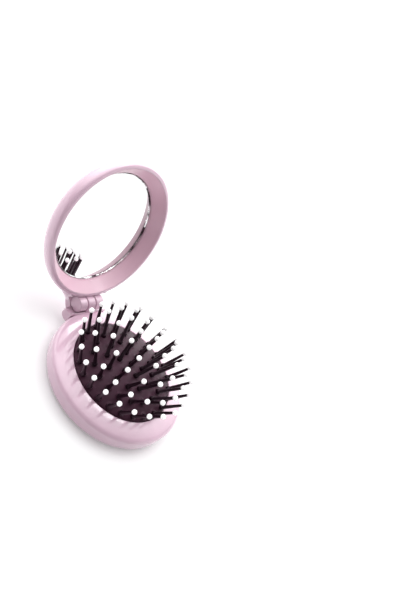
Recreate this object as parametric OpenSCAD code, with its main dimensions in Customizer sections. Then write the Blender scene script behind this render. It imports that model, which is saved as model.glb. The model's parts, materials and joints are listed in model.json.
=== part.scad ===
// Folding pocket hairbrush with a mirror in its lid.
// The brush lies on its back ring with the pins popped out, and the lid stands open against its stop.
// Origin: centre of the finger opening, in the plane of the back. +Z is up and the hinge is at +Y.
// Sections are drawn as [radius, height], and the lid is drawn closed and then swung open.

/* [Base] */
// Outer diameter of the base ring
base_d = 66; // [62:1:80]
// Thickness of the base ring, from its back to the rim of the pad
base_t = 10.8; // [10:0.2:14]
// Diameter of the opening that the rubber pad fills
opening_d = 48.8; // [40:0.4:50]
// Wall thickness of the base shell and the back ring
base_wall = 2.2; // [1.6:0.1:2.4]
// Height by which the front of the ring falls from the pad to the shoulder
front_fall = 1.9; // [1:0.05:2.4]
// Width of the rounded shoulder round the front of the ring
shoulder_w = 1.8; // [1:0.1:3]
// Radial width of the rounding round the back of the ring
back_round = 4; // [3:0.5:5]
// Distance from the side of the base to the line where the back ring begins
seam_in = 1.9; // [1.6:0.1:2.4]
// Width of that line
seam_gap = 0.25; // [0.1:0.05:0.5]

/* [Rubber pad] */
// Height of the popped-out dome above its rim
dome_h = 6.4; // [4:0.2:8]
// Thickness of the rubber
pad_t = 1.3; // [1:0.1:1.8]
// Thickness of the flange that the two rings clamp
flange_t = 1.5; // [1:0.1:2]
// Width of the flange outside the opening
flange_w = 2.6; // [1.8:0.1:2.8]
// Gap between the rubber and the wall of the opening
pad_gap = 0.15; // [0.05:0.05:0.3]
// Diameter of the well round each pin's head, in the back of the rubber
well_d = 4.2; // [3.6:0.1:4.4]
// Depth of that well
well_depth = 0.5; // [0.2:0.05:0.6]

/* [Pins] */
// Distance from the outermost row of pins to the wall of the opening
row_margin = 2; // [1.8:0.1:3]
// Outward tilt of the pins in each row, from the innermost row, in degrees
pin_tilt = [11.4, 21, 28.9, 27.4]; // [0:0.1:32]
// Azimuth of the first pin in every row, in degrees
row_start = 25; // [0:1:60]
// Height of the middle ball above the rim of the pad
tip_h = 20.7; // [17:0.1:22]
// Radius of the dome on which the balls lie
tip_dome_r = 50; // [40:1:70]
// Diameter of the ball on each tip
ball_d = 2.3; // [1.6:0.1:2.6]
// Diameter of a pin below its ball
pin_tip_d = 1.2; // [0.9:0.1:1.4]
// Diameter of a pin above its collar
pin_root_d = 1.7; // [1.4:0.1:2]
// Diameter of the collar that stands on the rubber
collar_d = 2.5; // [2.2:0.1:3]
// Height of the collar
collar_h = 1.3; // [0.8:0.1:2]
// Diameter of the neck that passes through the rubber
neck_d = 1.9; // [1.4:0.1:2]
// Diameter of the head behind the rubber
head_d = 2.9; // [2.4:0.1:3.2]
// Thickness of the head
head_t = 0.8; // [0.5:0.1:1]
// Gap between a pin and the rubber round it
pin_gap = 0.1; // [0.05:0.05:0.15]

/* [Lid] */
// Distance by which the lid's side stands in from the side of the base
lid_in = 0.4; // [0:0.1:1]
// Height of the lid, from its rim to the middle of its back
lid_t = 12.5; // [12:0.1:16]
// Wall thickness of the lid shell and the bezel
lid_wall = 1.1; // [1:0.1:1.4]
// Gap between the lid's rim and the base ring when it is shut
shut_gap = 0.25; // [0.1:0.05:0.6]
// Radial width of the rounded rim of the lid
rim_w = 2.2; // [1.6:0.1:3]
// Squareness of the lid's back, where 2 would be an ellipse
lid_square = 5.5; // [5:0.5:8]
// Diameter of the mirror glass
mirror_d = 53.2; // [44:0.2:54]
// Thickness of the mirror glass
mirror_t = 1; // [0.8:0.1:1.4]
// Width of the ground bevel round the front of the glass
mirror_bevel = 0.3; // [0.1:0.05:0.5]
// Width of the glass that the bezel covers all round
mirror_lap = 0.8; // [0.5:0.1:1.5]
// Depth of the glass below the lip of the bezel
mirror_sink = 1.3; // [1:0.1:3]
// Depth of the glass below the rim of the lid
mirror_depth = 6.3; // [6:0.1:8.3]
// Gap round the glass
mirror_gap = 0.1; // [0.05:0.05:0.3]
// Thickness of the foam tape behind the glass
tape_t = 0.6; // [0.4:0.1:1]
// Width of the ring of foam tape
tape_w = 5; // [3:0.5:8]

/* [Hinge] */
// Distance from the side of the base to the hinge axis
hinge_out = 2.7; // [2.2:0.1:3.4]
// Depth of the hinge axis below the rim of the pad
hinge_drop = 0.4; // [0:0.1:1]
// Diameter of the hinge barrel
barrel_d = 6.8; // [5:0.2:7.2]
// Diameter of the steel pin in the hinge
hinge_pin_d = 1.5; // [1:0.1:2]
// Width of each of the three knuckles
knuckle_w = 4.3; // [3:0.1:5.2]
// Gap between neighbouring knuckles
knuckle_gap = 0.3; // [0.2:0.05:0.5]
// Gap between the barrel and what swings round it
barrel_gap = 0.35; // [0.25:0.05:0.5]
// Running gap between the pin and the middle knuckle
hinge_pin_gap = 0.05; // [0.02:0.01:0.1]
// Thickness of plastic that closes one end of the barrel
blind_t = 0.8; // [0.5:0.1:1.2]
// Width of each hinge tab beyond the ends of the barrel
tab_side = 3.25; // [2:0.25:5]
// The same at the end of the lid's tab, which tapers
tab_end_side = 0.25; // [0.25:0.25:2]
// Thickness of the tabs outside the barrel
tab_t = 4; // [3.5:0.1:4.6]
// Direction in which the base tab ends, below level, in degrees
tab_angle = 71; // [60:1:80]
// Angle between the two tabs at the stop, in degrees
stop_gap = 1.5; // [1:0.1:3]
// Opening angle of the lid from shut, in degrees
open_angle = 115.5; // [90:0.5:120]

/* [Hidden] */
$fn = 64;
eps = 0.01;
row_count = 4;
single_rows = row_count - 1;
pins_per_row = 6;

// Curves and where they are drawn from, as shares of a width or height
rim_steps = 10;
bulge_share = 0.55;
bulge_fall_share = 0.2;
side_share = 0.4;

// Base ring
base_r = base_d / 2;
opening_r = opening_d / 2;
skirt_w = 1.6;
front_wall = base_wall + 0.2;
shoulder_r = base_r - shoulder_w;
shoulder_z = base_t - front_fall;
front_bulge = [opening_r + bulge_share * (shoulder_r - opening_r), base_t - bulge_fall_share * front_fall];
side_bottom_z = side_share * base_t;
side_top_z = base_t - side_bottom_z;
seam_r = base_r - seam_in;
seam_depth = 1.2;
ring_fit = 0.05;
ring_wall_r = seam_r + seam_gap - ring_fit;
ring_wall_z = side_bottom_z;
bead_w = 0.3;
bead_h = 0.8;
bead_top_drop = 0.6;
bead_z = ring_wall_z - bead_top_drop - bead_h;

// Rubber pad and pins
flange_top_z = (base_t + flange_t) / 2;
flange_bottom_z = (base_t - flange_t) / 2;
pad_r = opening_r - pad_gap;
dome_r = (pad_r * pad_r + dome_h * dome_h) / (2 * dome_h);
row_pitch = (opening_r - row_margin) / row_count;
ball_r = ball_d / 2;
ball_start = 32;
ball_steps = 8;
dome_steps = 14;
collar_gap = 0.3;
head_gap = 0.15;
pin_edge = 0.3;
dimple_d = 1;

// Hinge
hinge_y = base_r + hinge_out;
hinge_z = base_t - hinge_drop;
barrel_r = barrel_d / 2;
clear_r = barrel_r + barrel_gap;
barrel_w = 3 * knuckle_w + 2 * knuckle_gap;
pin_end_gap = 0.1;
tab_w = barrel_w + 2 * tab_side;
tab_end_w = barrel_w + 2 * tab_end_side;
tab_reach = barrel_r + tab_t;
tab_round = 1.6;
tab_nose = 0.6;
tab_foot_z = base_wall;
tab_root = 4;
tab_foot_out = 1;
tab_bend = 12;
nose_bend = 4;
lid_tab_bend = 14;
lid_tab_share = 0.75;
web_root = 0.8;
web_w = 1;

// Lid
lid_r = base_r - lid_in;
rim_r = lid_r - rim_w;
rim_z = line_height(front_bulge, [shoulder_r, shoulder_z], rim_r) + shut_gap;
rim_h = 2;
rim_top_z = rim_z + rim_h;
lid_back_z = rim_z + lid_t;
bezel_gap = 0.1;
lid_foot = [rim_r + bezel_gap, rim_z + 0.9];
lid_tab_z = rim_z + lid_tab_share * lid_t;
glass_z = rim_z + mirror_depth;
lip_z = glass_z - mirror_sink;
mirror_r = mirror_d / 2;
window_r = mirror_r - mirror_lap;
lip_w = 0.5;
lip_r = window_r + lip_w;
lip_round_share = 0.15;
bezel_r = rim_r - bezel_gap;
bezel_z = rim_z + 0.15;
bezel_edge = 0.3;
pocket_r = mirror_r + mirror_gap;
pocket_wall = 0.9;
pocket_depth = 0.5;
pocket_z = glass_z + pocket_depth;
tape_z = glass_z + mirror_t;
seat_z = tape_z + tape_t;
seat_in = 2.6;
seat_r = mirror_r - seat_in;
rib_w = 1;

shell_pink = [0.91, 0.76, 0.82];
plum = [0.29, 0.19, 0.25];
near_black = [0.16, 0.07, 0.12];

function row_pins(row) = pins_per_row * row;
function pin_name(row, i) = str("pin_row", row, "_", i);
function pair_name(i) = str("pin_row", row_count, "_pair_", i);

// Points of a curve from a to c that is drawn towards b; it leaves out the first point when start is 1
function curve(a, b, c, steps, start = 0) =
    [for (i = [start:steps]) let (t = i / steps) (1 - t) * (1 - t) * a + 2 * t * (1 - t) * b + t * t * c];
// Height at radius r of the straight line through a and b
function line_height(a, b, r) = a.y + (b.y - a.y) / (b.x - a.x) * (r - a.x);
// Height of the dome's outer face above the back, at radius r
function dome_z(r) = base_t + sqrt(dome_r * dome_r - r * r) - (dome_r - dome_h);
// Point at a radius and an angle round the hinge axis, as [y, z]
function about_hinge(r, angle) = [hinge_y + r * cos(angle), hinge_z + r * sin(angle)];
function row_r(row) = row * row_pitch;
function tilt(row) = row == 0 ? 0 : pin_tilt[row - 1];
// Angle from +Z to the square on the dome at a row's place
function dome_angle(row) = asin(row_r(row) / dome_r);
function azimuth(row, i) = row_start + (row == 0 ? 0 : 360 * i / row_pins(row));

// Length of a row's pins, from the face of the rubber to the ball's centre on the dome of tips
function pin_length(row) =
    let (away = [row_r(row), dome_z(row_r(row)) - (base_t + tip_h - tip_dome_r)],
         along = away * [sin(tilt(row)), cos(tilt(row))])
    sqrt(along * along - away * away + tip_dome_r * tip_dome_r) - along;

// Height on a pin's axis of the top of its head, whose raised side keeps its gap from the floor of the well
function head_top(row) =
    let (lean = abs(tilt(row) - dome_angle(row)))
    (well_depth - pad_t - head_gap - head_d / 2 * sin(lean)) / cos(lean);

// Outside of the base ring: front, shoulder, side, rounded back and flat land
function base_outline() = concat(
    curve([opening_r, base_t], front_bulge, [shoulder_r, shoulder_z], rim_steps),
    curve([shoulder_r, shoulder_z], [base_r, line_height(front_bulge, [shoulder_r, shoulder_z], base_r)],
          [base_r, side_top_z], rim_steps, 1),
    curve([base_r, side_bottom_z], [base_r, 0], [base_r - back_round, 0], rim_steps),
    [[opening_r, 0]]);

// Superellipse from the top of the rim to the middle of the lid's back, at a depth under its face
function cap_curve(depth, angles) = [for (a = angles)
    [(lid_r - depth) * pow(cos(a), 2 / lid_square), rim_top_z + (lid_back_z - rim_top_z - depth) * sin(a)]];

// Outside of the lid, from the inner foot of its rim to the middle of its back
function lid_outline() = concat(
    curve([rim_r, rim_z], [lid_r, rim_z], [lid_r, rim_top_z], rim_steps), cap_curve(0, [6:6:90]));

// Inside of the lid, from the middle of its back to the rim
function lid_inside() = cap_curve(lid_wall, [90:-6:0]);

module ring_section(inner_r, outer_r, low_z, high_z) {
    translate([inner_r, low_z]) square([outer_r - inner_r, high_z - low_z]);
}

module along_x(width) {
    rotate([90, 0, 90]) linear_extrude(height = width, center = true) children();
}

module barrel_piece(radius, x0, x1) {
    translate([x0, hinge_y, hinge_z]) rotate([0, 90, 0]) cylinder(r = radius, h = x1 - x0);
}

module base_shell() {
    color(shell_pink) difference() {
        union() {
            difference() {
                union() {
                    rotate_extrude($fn = 128) base_section();
                    base_tab();
                }
                barrel_piece(clear_r, -tab_w, tab_w);
            }
            barrel_piece(barrel_r, -knuckle_w / 2, knuckle_w / 2);
            along_x(knuckle_w) polygon([[hinge_y, hinge_z], about_hinge(clear_r + web_w, -tab_angle - 1),
                                        [base_r - web_root, hinge_z - clear_r - web_w],
                                        [base_r - web_root, shoulder_z - web_root], about_hinge(barrel_r, 180)]);
        }
        barrel_piece(hinge_pin_d / 2 + hinge_pin_gap, -knuckle_w, knuckle_w);
    }
}

// Section of the front ring, with its skirt, its cavity and the groove for the back ring's bead
module base_section() {
    difference() {
        polygon(base_outline());
        polygon([[opening_r + skirt_w, -1], [opening_r + skirt_w, base_t - front_wall],
                 [seam_r + seam_gap, shoulder_z - base_wall], [seam_r + seam_gap, -1]]);
        ring_section(opening_r - 1, opening_r + skirt_w + eps, -1, flange_top_z);
        ring_section(seam_r, seam_r + seam_gap + bead_w, bead_z - ring_fit, bead_z + bead_h + ring_fit);
    }
}

// Tab under the barrel, with rounded corners
module base_tab() {
    difference() {
        intersection() {
            along_x(tab_w) polygon([
                [hinge_y, hinge_z], [base_r - tab_root, hinge_z - clear_r], [base_r - tab_root, tab_foot_z],
                [base_r + tab_foot_out, tab_foot_z], about_hinge(tab_reach, -tab_angle - tab_bend),
                about_hinge(tab_reach, -tab_angle - nose_bend), about_hinge(tab_reach - tab_nose, -tab_angle)]);
            linear_extrude(height = base_t) {
                translate([-tab_w / 2, 0]) square([tab_w, hinge_y]);
                translate([tab_round - tab_w / 2, 0]) square([tab_w - 2 * tab_round, hinge_y + tab_reach]);
                for (side = [-1, 1]) translate([side * (tab_w / 2 - tab_round), hinge_y]) circle(r = tab_round);
            }
        }
        cylinder(r = base_r - web_root, h = base_t, $fn = 128);
    }
}

module back_ring() {
    color(shell_pink) rotate_extrude($fn = 128) intersection() {
        polygon(base_outline());
        union() {
            ring_section(opening_r, seam_r, -1, base_wall);
            ring_section(opening_r, opening_r + skirt_w, -1, flange_bottom_z);
            ring_section(seam_r - skirt_w, ring_wall_r, seam_depth, ring_wall_z);
            ring_section(seam_r - skirt_w, ring_wall_r + bead_w, bead_z, bead_z + bead_h);
        }
    }
}

module rubber_pad() {
    inner_r = pad_r - pad_t;
    color(plum) difference() {
        rotate_extrude($fn = 96) polygon(concat(
            [[opening_r + flange_w, flange_bottom_z], [opening_r + flange_w, flange_top_z], [pad_r, flange_top_z]],
            [for (i = [dome_steps:-1:0]) let (r = pad_r * i / dome_steps) [r, dome_z(r)]],
            [for (i = [0:dome_steps]) let (r = inner_r * i / dome_steps) [r, dome_z(r) - pad_t]],
            [[inner_r, flange_bottom_z]]));
        pin_hole(0, 0);
        for (row = [1:row_count], i = [1:row_pins(row)]) pin_hole(row, i);
    }
}

// Hole for a pin's neck, and the well behind it, which is sunk square to the rubber
module pin_hole(row, i) {
    dome_at(row, i, tilt(row)) translate([0, 0, -2 * pad_t])
        cylinder(d = neck_d + 2 * pin_gap, h = 4 * pad_t, $fn = 24);
    dome_at(row, i, dome_angle(row)) translate([0, 0, -2 * pad_t])
        cylinder(d = well_d, h = pad_t + well_depth, $fn = 32);
}

// Stands its child on the rubber at a pin's place, with the child's +Z tilted outwards
module dome_at(row, i, angle) {
    rotate([0, 0, azimuth(row, i)]) translate([row_r(row), 0, dome_z(row_r(row))])
        rotate([0, angle, 0]) children();
}

// One pin of a row, from the dimple in its head to its ball, turned about its own axis
module pin_body(row) {
    length = pin_length(row);
    head_z = head_top(row) - head_t;
    collar_z = collar_gap + collar_h;
    rotate_extrude($fn = 24) polygon(concat(
        [[0, head_z + pin_edge], [dimple_d / 2 - pin_edge / 2, head_z + pin_edge], [dimple_d / 2, head_z],
         [head_d / 2 - pin_edge, head_z], [head_d / 2, head_z + pin_edge],
         [head_d / 2, head_top(row)], [neck_d / 2, head_top(row)], [neck_d / 2, collar_gap],
         [collar_d / 2 - pin_edge / 2, collar_gap], [collar_d / 2, collar_gap + pin_edge],
         [(collar_d + pin_root_d) / 4 + pin_edge / 2, collar_z - pin_edge], [pin_root_d / 2, collar_z],
         [pin_tip_d / 2, length - ball_r * cos(ball_start)]],
        [for (i = [0:ball_steps - 1]) let (a = ball_start + (180 - ball_start) * i / ball_steps)
            [ball_r * sin(a), length - ball_r * cos(a)]],
        [[0, length + ball_r]]));
}

module pin(row, i) {
    color(near_black) dome_at(row, i, tilt(row)) pin_body(row);
}

// Two neighbours of the outermost row, which tip in together
module pin_pair(i) {
    pin(row_count, 2 * i - 2);
    pin(row_count, 2 * i - 1);
}

// Swings what is drawn shut to the lid's open stop
module swung_open() {
    translate([0, hinge_y, hinge_z]) rotate([-open_angle, 0, 0]) translate([0, -hinge_y, -hinge_z]) children();
}

module hinge_pin() {
    color("silver") barrel_piece(hinge_pin_d / 2, -barrel_w / 2 + blind_t, barrel_w / 2 - pin_end_gap);
}

module lid_shell() {
    color(shell_pink) swung_open() difference() {
        union() {
            rotate_extrude($fn = 128) {
                polygon(concat(lid_outline(), lid_inside(), [lid_foot]));
                for (rib_r = [seat_r, seat_r - tape_w + rib_w])
                    ring_section(rib_r - rib_w, rib_r, seat_z, lid_back_z - lid_wall + eps);
            }
            lid_tab();
            barrel_piece(barrel_r, -barrel_w / 2, barrel_w / 2);
        }
        barrel_piece(clear_r, -knuckle_w / 2 - knuckle_gap, knuckle_w / 2 + knuckle_gap);
        barrel_piece(hinge_pin_d / 2, -barrel_w / 2 + blind_t, barrel_w / 2 + 1);
    }
}

// Tab over the barrel, joined to the side of the lid and drawn in to the width of the barrel
module lid_tab() {
    end_angle = open_angle - tab_angle + stop_gap;
    difference() {
        intersection() {
            along_x(tab_w) polygon([
                [hinge_y, hinge_z], [lid_r - tab_root, hinge_z + web_w], [lid_r - tab_root, lid_tab_z],
                [lid_r - web_w, lid_tab_z], about_hinge(tab_reach, end_angle + lid_tab_bend),
                about_hinge(tab_reach, end_angle + nose_bend), about_hinge(tab_reach - tab_nose, end_angle)]);
            linear_extrude(height = lid_back_z) polygon([
                [-tab_w / 2, 0], [tab_w / 2, 0], [tab_w / 2, lid_r], [tab_end_w / 2, hinge_y + web_w],
                [tab_end_w / 2, hinge_y + tab_reach], [-tab_end_w / 2, hinge_y + tab_reach],
                [-tab_end_w / 2, hinge_y + web_w], [-tab_w / 2, lid_r]]);
        }
        rotate_extrude($fn = 128) polygon(concat(
            [[0, rim_z - 1]], cap_curve(lid_wall / 2, [90:-6:0]), [[lid_r - lid_wall / 2, rim_z - 1]]));
    }
}

module mirror_bezel() {
    slope = [bezel_r - lip_r, lip_z - bezel_z];
    back_z = lid_wall * slope.x / norm(slope);
    lip_start = [lip_r + lip_round_share * slope.x, lip_z - lip_round_share * slope.y];
    color(shell_pink) swung_open() rotate_extrude($fn = 128) polygon(concat(
        [[bezel_r, bezel_z + bezel_edge], [bezel_r - bezel_edge, bezel_z]],
        curve(lip_start, [lip_r, lip_z], [lip_r - 0.1, lip_z + 2 * bezel_edge], 4),
        [[window_r, glass_z], [pocket_r, glass_z], [pocket_r, pocket_z], [pocket_r + pocket_wall, pocket_z],
         [pocket_r + pocket_wall, lip_z + back_z],
         [bezel_r - 2 * bezel_edge, bezel_z + back_z + 3 * bezel_edge]]));
}

module mirror() {
    color("lightcyan") swung_open() rotate_extrude($fn = 128) polygon([
        [0, glass_z], [mirror_r - mirror_bevel, glass_z], [mirror_r, glass_z + mirror_bevel],
        [mirror_r, tape_z], [0, tape_z]]);
}

module mirror_tape() {
    color("dimgray") swung_open() translate([0, 0, tape_z]) difference() {
        cylinder(r = seat_r, h = tape_t, $fn = 96);
        translate([0, 0, -1]) cylinder(r = seat_r - tape_w, h = tape_t + 2, $fn = 96);
    }
}

base_shell();
back_ring();
rubber_pad();
hinge_pin();
lid_shell();
mirror_bezel();
mirror();
mirror_tape();
pin(0, 0);  // pin_centre
for (row = [1:single_rows], i = [1:row_pins(row)]) pin(row, i);
for (i = [1:row_pins(row_count) / 2]) pin_pair(i);
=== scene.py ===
"""Looks of a folding pocket hairbrush: pink rings, a rubber dome with ball-tipped pins, and a mirrored lid.

Every new piece is a surface worked out from a formula round the fixed frame. Lengths are in metres, +Z points
out of the brush side and the hinge is at +Y. The lid is worked out shut and then swung to its open stop.
"""

import json
import math
from types import SimpleNamespace

import bpy
import numpy as np
from bpy.props import FloatProperty, FloatVectorProperty, IntProperty, PointerProperty
from mathutils import Matrix, Vector


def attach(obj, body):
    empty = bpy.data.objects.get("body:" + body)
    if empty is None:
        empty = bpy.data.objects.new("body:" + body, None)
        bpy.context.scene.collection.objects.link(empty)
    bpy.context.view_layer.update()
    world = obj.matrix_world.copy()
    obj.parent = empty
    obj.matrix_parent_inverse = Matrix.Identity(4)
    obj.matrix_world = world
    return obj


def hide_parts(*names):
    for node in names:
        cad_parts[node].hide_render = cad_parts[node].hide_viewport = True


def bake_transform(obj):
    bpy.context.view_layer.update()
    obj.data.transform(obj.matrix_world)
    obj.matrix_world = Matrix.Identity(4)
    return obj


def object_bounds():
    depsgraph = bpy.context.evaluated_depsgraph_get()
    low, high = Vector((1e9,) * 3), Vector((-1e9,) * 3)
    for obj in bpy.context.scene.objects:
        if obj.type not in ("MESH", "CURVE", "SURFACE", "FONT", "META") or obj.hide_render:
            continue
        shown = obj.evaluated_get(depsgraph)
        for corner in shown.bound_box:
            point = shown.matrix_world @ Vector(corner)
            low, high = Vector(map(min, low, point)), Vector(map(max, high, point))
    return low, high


bl_info = {
    "name": "Folding Hairbrush",
    "version": (1, 0, 0),
    "blender": (4, 5, 0),
    "location": "View3D > Sidebar > Hairbrush",
    "description": "Builds the pieces, finishes and stage of a folding pocket hairbrush with a mirror",
    "category": "Add Mesh",
}

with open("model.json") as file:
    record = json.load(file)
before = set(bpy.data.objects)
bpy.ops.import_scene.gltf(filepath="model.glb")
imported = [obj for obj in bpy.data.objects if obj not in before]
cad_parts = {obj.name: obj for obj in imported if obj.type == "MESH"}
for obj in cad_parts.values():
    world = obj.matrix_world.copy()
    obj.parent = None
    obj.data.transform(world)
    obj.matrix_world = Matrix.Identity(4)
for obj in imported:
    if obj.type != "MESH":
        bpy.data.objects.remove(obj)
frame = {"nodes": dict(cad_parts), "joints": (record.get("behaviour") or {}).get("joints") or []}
CAD_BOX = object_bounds()

MM = 0.001
LID_JOINT = next(j for j in frame["joints"] if j["name"] == "lid_hinge")
HINGE = np.array(LID_JOINT["pos_m"])
OPEN_ANGLE = math.radians(LID_JOINT["range_deg"][1])
TAU = 2 * math.pi
ROUND = np.linspace(0, TAU, 73)[:-1]  # directions of the points round a knuckle


# ---- sizes and colours


def length(title, text, default):
    """Property for a size, with its default in millimetres."""
    return FloatProperty(name=title, description=text, default=default * MM, min=0, unit="LENGTH",
                         precision=5)


def angle(title, text, default):
    """Property for an angle, with its default in degrees."""
    return FloatProperty(name=title, description=text, default=math.radians(default), unit="ROTATION")


def amount(title, text, default):
    """Property for a plain number."""
    return FloatProperty(name=title, description=text, default=default)


def vector(title, text, default, **kind):
    """Property for a place, a direction or a pair of numbers."""
    return FloatVectorProperty(name=title, description=text, default=default, size=len(default), **kind)


def paint(title, text, default):
    """Property for a colour, as scene-linear red, green and blue."""
    return vector(title, text, default, min=0, max=1, subtype="COLOR")


class HAIRBRUSH_PG_rings(bpy.types.PropertyGroup):
    """Sizes of the front ring and the back ring."""

    outer_r: length("Outer radius", "Radius of the ring's side", 33)
    height: length("Height", "Height of the ring from its back to the rim of the pad", 10.8)
    opening_r: length("Opening radius", "Radius of the opening that the rubber fills", 24.4)
    front_fall: length("Front fall", "Height by which the front falls from the pad to the shoulder", 1.9)
    shoulder_w: length("Shoulder width", "Radial width of the rounded shoulder", 1.8)
    back_round: length("Back rounding", "Radial width of the rounding round the back", 4)
    seam_in: length("Seam inset", "Distance from the side to the seam in the back", 1.9)
    seam_gap: length("Seam width", "Width of the seam", 0.25)
    wall: length("Wall", "Wall thickness of both rings", 2.2)
    skirt_w: length("Skirt width", "Radial thickness of the skirts that clamp the rubber", 1.6)
    bevel: length("Seam bevel", "Width of the small bevel on either side of the seam", 0.12)
    edge: length("Edge rounding", "Rounding of the moulded edges", 0.3)
    segments: IntProperty(name="Segments", description="Steps round a ring", default=192, min=24)


class HAIRBRUSH_PG_pad(bpy.types.PropertyGroup):
    """Sizes of the rubber dome."""

    dome_h: length("Dome height", "Height of the popped-out dome above its rim", 6.4)
    thick: length("Thickness", "Thickness of the rubber", 1.3)
    gap: length("Gap", "Gap between the rubber and the wall of the opening", 0.15)
    flange_t: length("Flange thickness", "Thickness of the clamped flange", 1.5)
    flange_w: length("Flange width", "Width of the flange outside the opening", 2.6)
    pocket_r: length("Pocket radius", "Radius of the pocket round each head, behind the rubber", 2.1)
    pocket_depth: length("Pocket depth", "Depth of that pocket", 0.5)
    mound_h: length("Mound height", "Height to which the rubber swells round each collar", 0.3)


class HAIRBRUSH_PG_pins(bpy.types.PropertyGroup):
    """Sizes of the ball-tipped pins."""

    tilt: vector("Tilt", "Outward tilt of the pins in each row, in radians",
                 [math.radians(a) for a in (11.4, 21, 28.9, 27.4)])
    first: angle("First azimuth", "Azimuth of the first pin in a row", 25)
    row_margin: length("Row margin", "Distance from the outermost row to the wall of the opening", 2)
    tip_h: length("Tip height", "Height of the middle ball above the rim of the pad", 20.7)
    tip_dome_r: length("Tip dome radius", "Radius of the dome on which the balls lie", 50)
    ball_r: length("Ball radius", "Radius of the ball on each tip", 1.15)
    tip_r: length("Tip radius", "Radius of a pin below its ball", 0.6)
    root_r: length("Root radius", "Radius of a pin above its collar", 0.85)
    collar_r: length("Collar radius", "Radius of the collar on the rubber", 1.25)
    collar_h: length("Collar height", "Height of the collar", 1.3)
    head_r: length("Head radius", "Radius of the head behind the rubber", 1.45)
    head_t: length("Head thickness", "Thickness of the head", 0.8)
    head_gap: length("Head gap", "Gap between the head and the floor of its pocket", 0.15)
    segments: IntProperty(name="Segments", description="Steps round a pin", default=20, min=8)


class HAIRBRUSH_PG_lid(bpy.types.PropertyGroup):
    """Sizes of the lid, its bezel and the mirror."""

    side_in: length("Side inset", "Distance by which the lid's side stands in from the base", 0.4)
    height: length("Height", "Height of the lid from its rim to the middle of its back", 12.5)
    wall: length("Wall", "Wall thickness of the lid and the bezel", 1.1)
    shut_gap: length("Shut gap", "Gap between the lid's rim and the ring when shut", 0.25)
    rim_w: length("Rim width", "Radial width of the rounded rim", 2.2)
    square: amount("Squareness", "Power of the superellipse of the lid's back", 5.5)
    mirror_r: length("Mirror radius", "Radius of the glass", 26.6)
    mirror_t: length("Mirror thickness", "Thickness of the glass", 1)
    bevel: length("Glass bevel", "Width of the ground bevel round the front of the glass", 0.3)
    mirror_lap: length("Mirror lap", "Width of glass that the bezel covers", 0.8)
    mirror_sink: length("Mirror sink", "Depth of the glass below the bezel's lip", 1.3)
    mirror_depth: length("Mirror depth", "Depth of the glass below the lid's rim", 6.3)
    band_h: length("Edging height", "Height of the bright edging round the glass", 0.6)


class HAIRBRUSH_PG_hinge(bpy.types.PropertyGroup):
    """Sizes of the hinge."""

    barrel_r: length("Barrel radius", "Radius of the hinge barrel", 3.4)
    barrel_gap: length("Barrel gap", "Gap between the barrel and what swings round it", 0.35)
    pin_r: length("Pin radius", "Radius of the steel pin", 0.75)
    knuckle_w: length("Knuckle width", "Width of each knuckle", 4.15)
    knuckle_gap: length("Knuckle gap", "Gap between neighbouring knuckles", 0.45)
    tab_w: length("Tab width", "Width of both hinge tabs at their roots", 20)
    tab_end_w: length("Lid tab end width", "Width of the lid's tab at its end", 14)
    tab_reach: length("Tab reach", "Distance from the hinge axis to the outside of the tabs", 7.4)
    web_lap: length("Web lap", "Depth to which a knuckle runs into its tab", 0.5)
    tab_angle: angle("Base tab end", "Direction in which the base tab ends, below level", 71)
    stop_gap: angle("Stop gap", "Angle between the two tabs at the stop", 1.5)
    edge: length("Edge rounding", "Rounding of the moulded edges", 0.35)


class HAIRBRUSH_PG_finish(bpy.types.PropertyGroup):
    """Colours of the pieces."""

    shell: paint("Shell", "Plastic of the front ring and the lid", (0.72, 0.495, 0.61))
    back: paint("Back ring", "Plastic of the back ring", (0.72, 0.53, 0.61))
    # The bezel is the shell's plastic; its brighter, pinker tone is painted light and shade fitted to the lit
    # dish.
    bezel: paint("Bezel", "Plastic of the mirror's bezel", (0.78, 0.495, 0.605))
    rubber: paint("Rubber", "Rubber of the dome", (0.036, 0.009, 0.021))
    pin: paint("Pin", "Plastic of the pins", (0.010, 0.0015, 0.006))
    ball: paint("Ball", "Dipped tips", (0.93, 0.92, 0.925))
    silver: paint("Silvering", "Mirror", (0.97, 0.975, 0.975))
    steel: paint("Steel", "Hinge pin", (0.62, 0.62, 0.63))
    foam: paint("Foam", "Foam tape", (0.25, 0.25, 0.26))
    floor: paint("Floor", "Plain floor", (0.66, 0.655, 0.66))


class HAIRBRUSH_PG_stage(bpy.types.PropertyGroup):
    """Camera, floor and light."""

    eye: vector("Camera", "Place of the camera", (-0.2783, -0.1112, 0.2937), unit="LENGTH")
    look: vector("Looks along", "Direction of the camera", (0.6860, 0.3282, -0.6494), subtype="XYZ")
    up: vector("Up", "Direction of the picture's top edge", (0.1028, 0.8398, 0.5330), subtype="XYZ")
    lens: amount("Lens", "Focal length on a 36 mm sensor, in millimetres", 56.9)
    shift: vector("Shift", "Shift of the picture's middle", (0.1256, 0.0075))
    floor_r: length("Floor radius", "Radius of the floor", 1600)
    glow: amount("Floor glow", "Strength of the light table under the floor", 0.25)
    key: amount("Key light", "Power of the square light above in watts", 0.6)
    key_place: vector("Key place", "Place of that light", (0.36, 0.07, 0.71), unit="LENGTH")
    key_size: length("Key size", "Width of that light", 200)
    top: amount("Tent top", "Strength of the tent's bright side", 3.05)
    top_way: vector("Tent top at", "Direction of the bright side", (0.46, 0.585, 0.67), subtype="XYZ")
    dim: amount("Tent near side", "Strength of the tent's dim near side", 0.2)
    window: amount("Tent window", "Strength of the white that the mirror shows", 1.1)
    window_way: vector("Window at", "Direction of that white", (0.679, -0.730, -0.076), subtype="XYZ")


# ---- meshes


def bend(a, b, c, t):
    """Curve from a to c drawn towards b, (1-t)^2 a + 2t(1-t) b + t^2 c, at each t of an array."""
    t = t[:, None]
    return (1 - t) ** 2 * np.asarray(a) + 2 * t * (1 - t) * np.asarray(b) + t**2 * np.asarray(c)


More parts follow.
